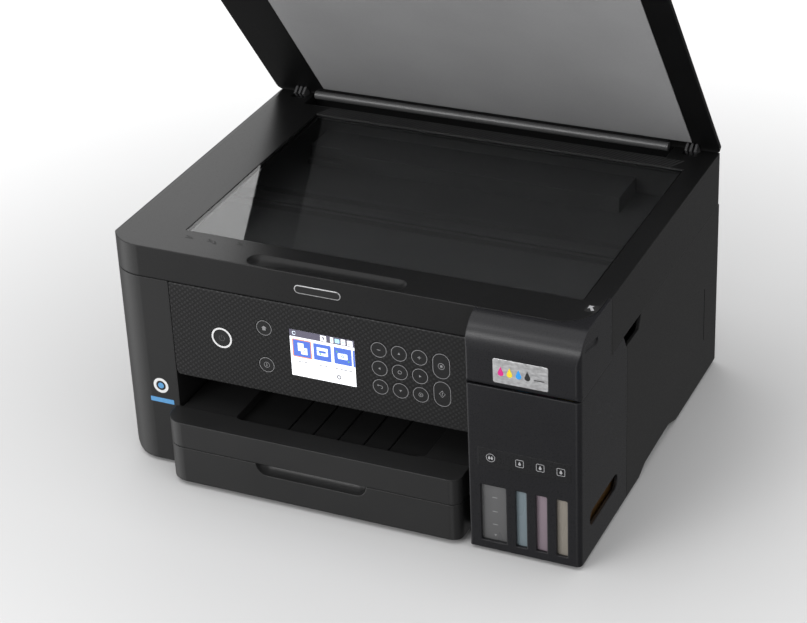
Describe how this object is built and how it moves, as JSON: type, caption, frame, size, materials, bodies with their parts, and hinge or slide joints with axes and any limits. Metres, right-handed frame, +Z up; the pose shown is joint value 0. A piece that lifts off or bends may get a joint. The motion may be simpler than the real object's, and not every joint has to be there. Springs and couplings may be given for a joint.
{
  "type": "inkjet printer",
  "caption": "Ink tank inkjet printer with flatbed scanner, tilting control panel, front paper cassette and refillable ink tanks, shown with its lid open.",
  "frame": {"origin": "on the table, middle of the printer's footprint from the cassette front to the rear cover", "axes": "+X to the printer's right as seen from the front, +Y to the back, +Z up"},
  "size_m": [0.375, 0.347, 0.407],
  "materials": {
    "case_black": "fine grained satin",
    "panel_black": "diagonal weave texture",
    "tank_black": "satin",
    "inner_black": "matte moulded",
    "key_black": "satin with light outline",
    "mat_grey": "satin",
    "glass": "clear float glass",
    "screen_glass": "lit colour screen",
    "steel": "zinc plated sheet",
    "rubber": "matte",
    "roller_rubber": "ground rubber",
    "tank_clear_k": "translucent moulded",
    "tank_clear_c": "translucent moulded",
    "tank_clear_m": "translucent moulded",
    "tank_clear_y": "translucent moulded",
    "cap_k": "satin",
    "cap_c": "satin",
    "cap_m": "satin",
    "cap_y": "satin",
    "belt": "toothed rubber",
    "film": "clear film with fine marks",
    "board_green": "solder mask",
    "motor_steel": "plated can"
  },
  "bodies": {
    "base": {"lower_case": "inner_black", "left_cover": "case_black", "right_cover": "case_black", "tank_housing": "tank_black", "ink_tank_black": "tank_clear_k", "ink_tank_cyan": "tank_clear_c", "ink_tank_magenta": "tank_clear_m", "ink_tank_yellow": "tank_clear_y", "upper_frame": "inner_black", "metal_frame": "steel", "platen": "inner_black", "timing_belt": "belt", "encoder_strip": "film", "carriage_motor": "motor_steel", "feed_motor": "motor_steel", "cap_station": "inner_black", "maintenance_box": "inner_black", "power_supply": "inner_black", "main_board": "board_green", "ac_inlet": "inner_black", "ink_tubes": "rubber", "rubber_feet": "rubber", "case_screws": "steel"},
    "scanner": {"scanner_top": "case_black", "scanner_bed": "inner_black", "platen_glass": "glass"},
    "scan_bar": {"scan_bar": "inner_black"},
    "lid": {"lid_shell": "case_black", "lid_mat": "mat_grey", "lid_hinges": "inner_black"},
    "tank_cover": {"tank_cover": "tank_black"},
    "panel": {"control_panel": "panel_black", "screen": "screen_glass"},
    "output_tray": {"output_tray": "case_black"},
    "cassette": {"cassette_drawer": "case_black"},
    "guide_left": {"paper_guide_left": "inner_black"},
    "guide_right": {"paper_guide_right": "inner_black"},
    "carriage": {"print_carriage": "inner_black"},
    "feed_roller": {"feed_roller": "roller_rubber"},
    "exit_roller": {"exit_roller": "roller_rubber"},
    "pickup_roller": {"pickup_roller": "roller_rubber"},
    "rear_cover": {"rear_cover": "case_black"},
    "cap_black": {"ink_cap_black": "cap_k"},
    "cap_cyan": {"ink_cap_cyan": "cap_c"},
    "cap_magenta": {"ink_cap_magenta": "cap_m"},
    "cap_yellow": {"ink_cap_yellow": "cap_y"},
    "power_key": {"power_key": "key_black"},
    "home_key": {"home_key": "key_black"},
    "help_key": {"help_key": "key_black"},
    "key_1": {"key_1": "key_black"},
    "key_2": {"key_2": "key_black"},
    "key_3": {"key_3": "key_black"},
    "key_4": {"key_4": "key_black"},
    "key_5": {"key_5": "key_black"},
    "key_6": {"key_6": "key_black"},
    "key_7": {"key_7": "key_black"},
    "key_8": {"key_8": "key_black"},
    "key_9": {"key_9": "key_black"},
    "stop_key": {"stop_key": "key_black"},
    "start_key": {"start_key": "key_black"}
  },
  "joints": [
    {"name": "scanner_lift", "type": "hinge", "parent": "base", "child": "scanner", "pos_m": [0, 0.1285, 0.146], "axis": [-1, 0, 0], "range_deg": [0, 30]},
    {"name": "lid_hinge", "type": "hinge", "parent": "scanner", "child": "lid", "pos_m": [0, 0.13, 0.1795], "axis": [-1, 0, 0], "range_deg": [-52.5, 27.5]},
    {"name": "scan_bar_slide", "type": "slide", "parent": "scanner", "child": "scan_bar", "axis": [1, 0, 0], "range_m": [0, 0.32]},
    {"name": "tank_cover_hinge", "type": "hinge", "parent": "base", "child": "tank_cover", "pos_m": [0.1463, -0.1683, 0.1387], "axis": [1, 0, 0], "range_deg": [0, 95]},
    {"name": "cap_black_hinge", "type": "hinge", "parent": "base", "child": "cap_black", "pos_m": [0.1233, -0.1475, 0.125], "axis": [-1, 0, 0], "range_deg": [0, 95]},
    {"name": "cap_cyan_hinge", "type": "hinge", "parent": "base", "child": "cap_cyan", "pos_m": [0.1438, -0.1475, 0.125], "axis": [-1, 0, 0], "range_deg": [0, 95]},
    {"name": "cap_magenta_hinge", "type": "hinge", "parent": "base", "child": "cap_magenta", "pos_m": [0.1588, -0.1475, 0.125], "axis": [-1, 0, 0], "range_deg": [0, 95]},
    {"name": "cap_yellow_hinge", "type": "hinge", "parent": "base", "child": "cap_yellow", "pos_m": [0.1738, -0.1475, 0.125], "axis": [-1, 0, 0], "range_deg": [0, 95]},
    {"name": "panel_tilt", "type": "hinge", "parent": "base", "child": "panel", "pos_m": [-0.0145, -0.1455, 0.1415], "axis": [-1, 0, 0], "range_deg": [0, 45]},
    {"name": "power_key_press", "type": "slide", "parent": "panel", "child": "power_key", "axis": [0, 1, 0], "range_m": [0, 0.0006], "stiffness_N_per_m": 600},
    {"name": "home_key_press", "type": "slide", "parent": "panel", "child": "home_key", "axis": [0, 1, 0], "range_m": [0, 0.0006], "stiffness_N_per_m": 600},
    {"name": "help_key_press", "type": "slide", "parent": "panel", "child": "help_key", "axis": [0, 1, 0], "range_m": [0, 0.0006], "stiffness_N_per_m": 600},
    {"name": "key_1_press", "type": "slide", "parent": "panel", "child": "key_1", "axis": [0, 1, 0], "range_m": [0, 0.0006], "stiffness_N_per_m": 600},
    {"name": "key_2_press", "type": "slide", "parent": "panel", "child": "key_2", "axis": [0, 1, 0], "range_m": [0, 0.0006], "stiffness_N_per_m": 600},
    {"name": "key_3_press", "type": "slide", "parent": "panel", "child": "key_3", "axis": [0, 1, 0], "range_m": [0, 0.0006], "stiffness_N_per_m": 600},
    {"name": "key_4_press", "type": "slide", "parent": "panel", "child": "key_4", "axis": [0, 1, 0], "range_m": [0, 0.0006], "stiffness_N_per_m": 600},
    {"name": "key_5_press", "type": "slide", "parent": "panel", "child": "key_5", "axis": [0, 1, 0], "range_m": [0, 0.0006], "stiffness_N_per_m": 600},
    {"name": "key_6_press", "type": "slide", "parent": "panel", "child": "key_6", "axis": [0, 1, 0], "range_m": [0, 0.0006], "stiffness_N_per_m": 600},
    {"name": "key_7_press", "type": "slide", "parent": "panel", "child": "key_7", "axis": [0, 1, 0], "range_m": [0, 0.0006], "stiffness_N_per_m": 600},
    {"name": "key_8_press", "type": "slide", "parent": "panel", "child": "key_8", "axis": [0, 1, 0], "range_m": [0, 0.0006], "stiffness_N_per_m": 600},
    {"name": "key_9_press", "type": "slide", "parent": "panel", "child": "key_9", "axis": [0, 1, 0], "range_m": [0, 0.0006], "stiffness_N_per_m": 600},
    {"name": "stop_key_press", "type": "slide", "parent": "panel", "child": "stop_key", "axis": [0, 1, 0], "range_m": [0, 0.0006], "stiffness_N_per_m": 600},
    {"name": "start_key_press", "type": "slide", "parent": "panel", "child": "start_key", "axis": [0, 1, 0], "range_m": [0, 0.0006], "stiffness_N_per_m": 600},
    {"name": "tray_slide", "type": "slide", "parent": "base", "child": "output_tray", "axis": [0, -1, 0], "range_m": [0, 0.11]},
    {"name": "cassette_slide", "type": "slide", "parent": "base", "child": "cassette", "axis": [0, -1, 0], "range_m": [0, 0.25]},
    {"name": "guide_left_slide", "type": "slide", "parent": "cassette", "child": "guide_left", "axis": [1, 0, 0], "range_m": [0, 0.055]},
    {"name": "guide_right_slide", "type": "slide", "parent": "cassette", "child": "guide_right", "axis": [-1, 0, 0], "range_m": [0, 0.055]},
    {"name": "carriage_slide", "type": "slide", "parent": "base", "child": "carriage", "axis": [-1, 0, 0], "range_m": [0, 0.2586]},
    {"name": "feed_roller_spin", "type": "hinge", "parent": "base", "child": "feed_roller", "pos_m": [0, -0.019, 0.084], "axis": [1, 0, 0], "continuous": true},
    {"name": "exit_roller_spin", "type": "hinge", "parent": "base", "child": "exit_roller", "pos_m": [0, -0.071, 0.082], "axis": [1, 0, 0], "continuous": true},
    {"name": "pickup_roller_spin", "type": "hinge", "parent": "base", "child": "pickup_roller", "pos_m": [0, 0.053, 0.0495], "axis": [1, 0, 0], "continuous": true},
    {"name": "rear_cover_slide", "type": "slide", "parent": "base", "child": "rear_cover", "axis": [0, 1, 0], "range_m": [0, 0.06]}
  ],
  "couplings": [
    {"joint": "guide_right_slide", "follows": "guide_left_slide", "ratio": 1},
    {"joint": "exit_roller_spin", "follows": "feed_roller_spin", "ratio": 1},
    {"joint": "pickup_roller_spin", "follows": "feed_roller_spin", "ratio": 0.5}
  ]
}
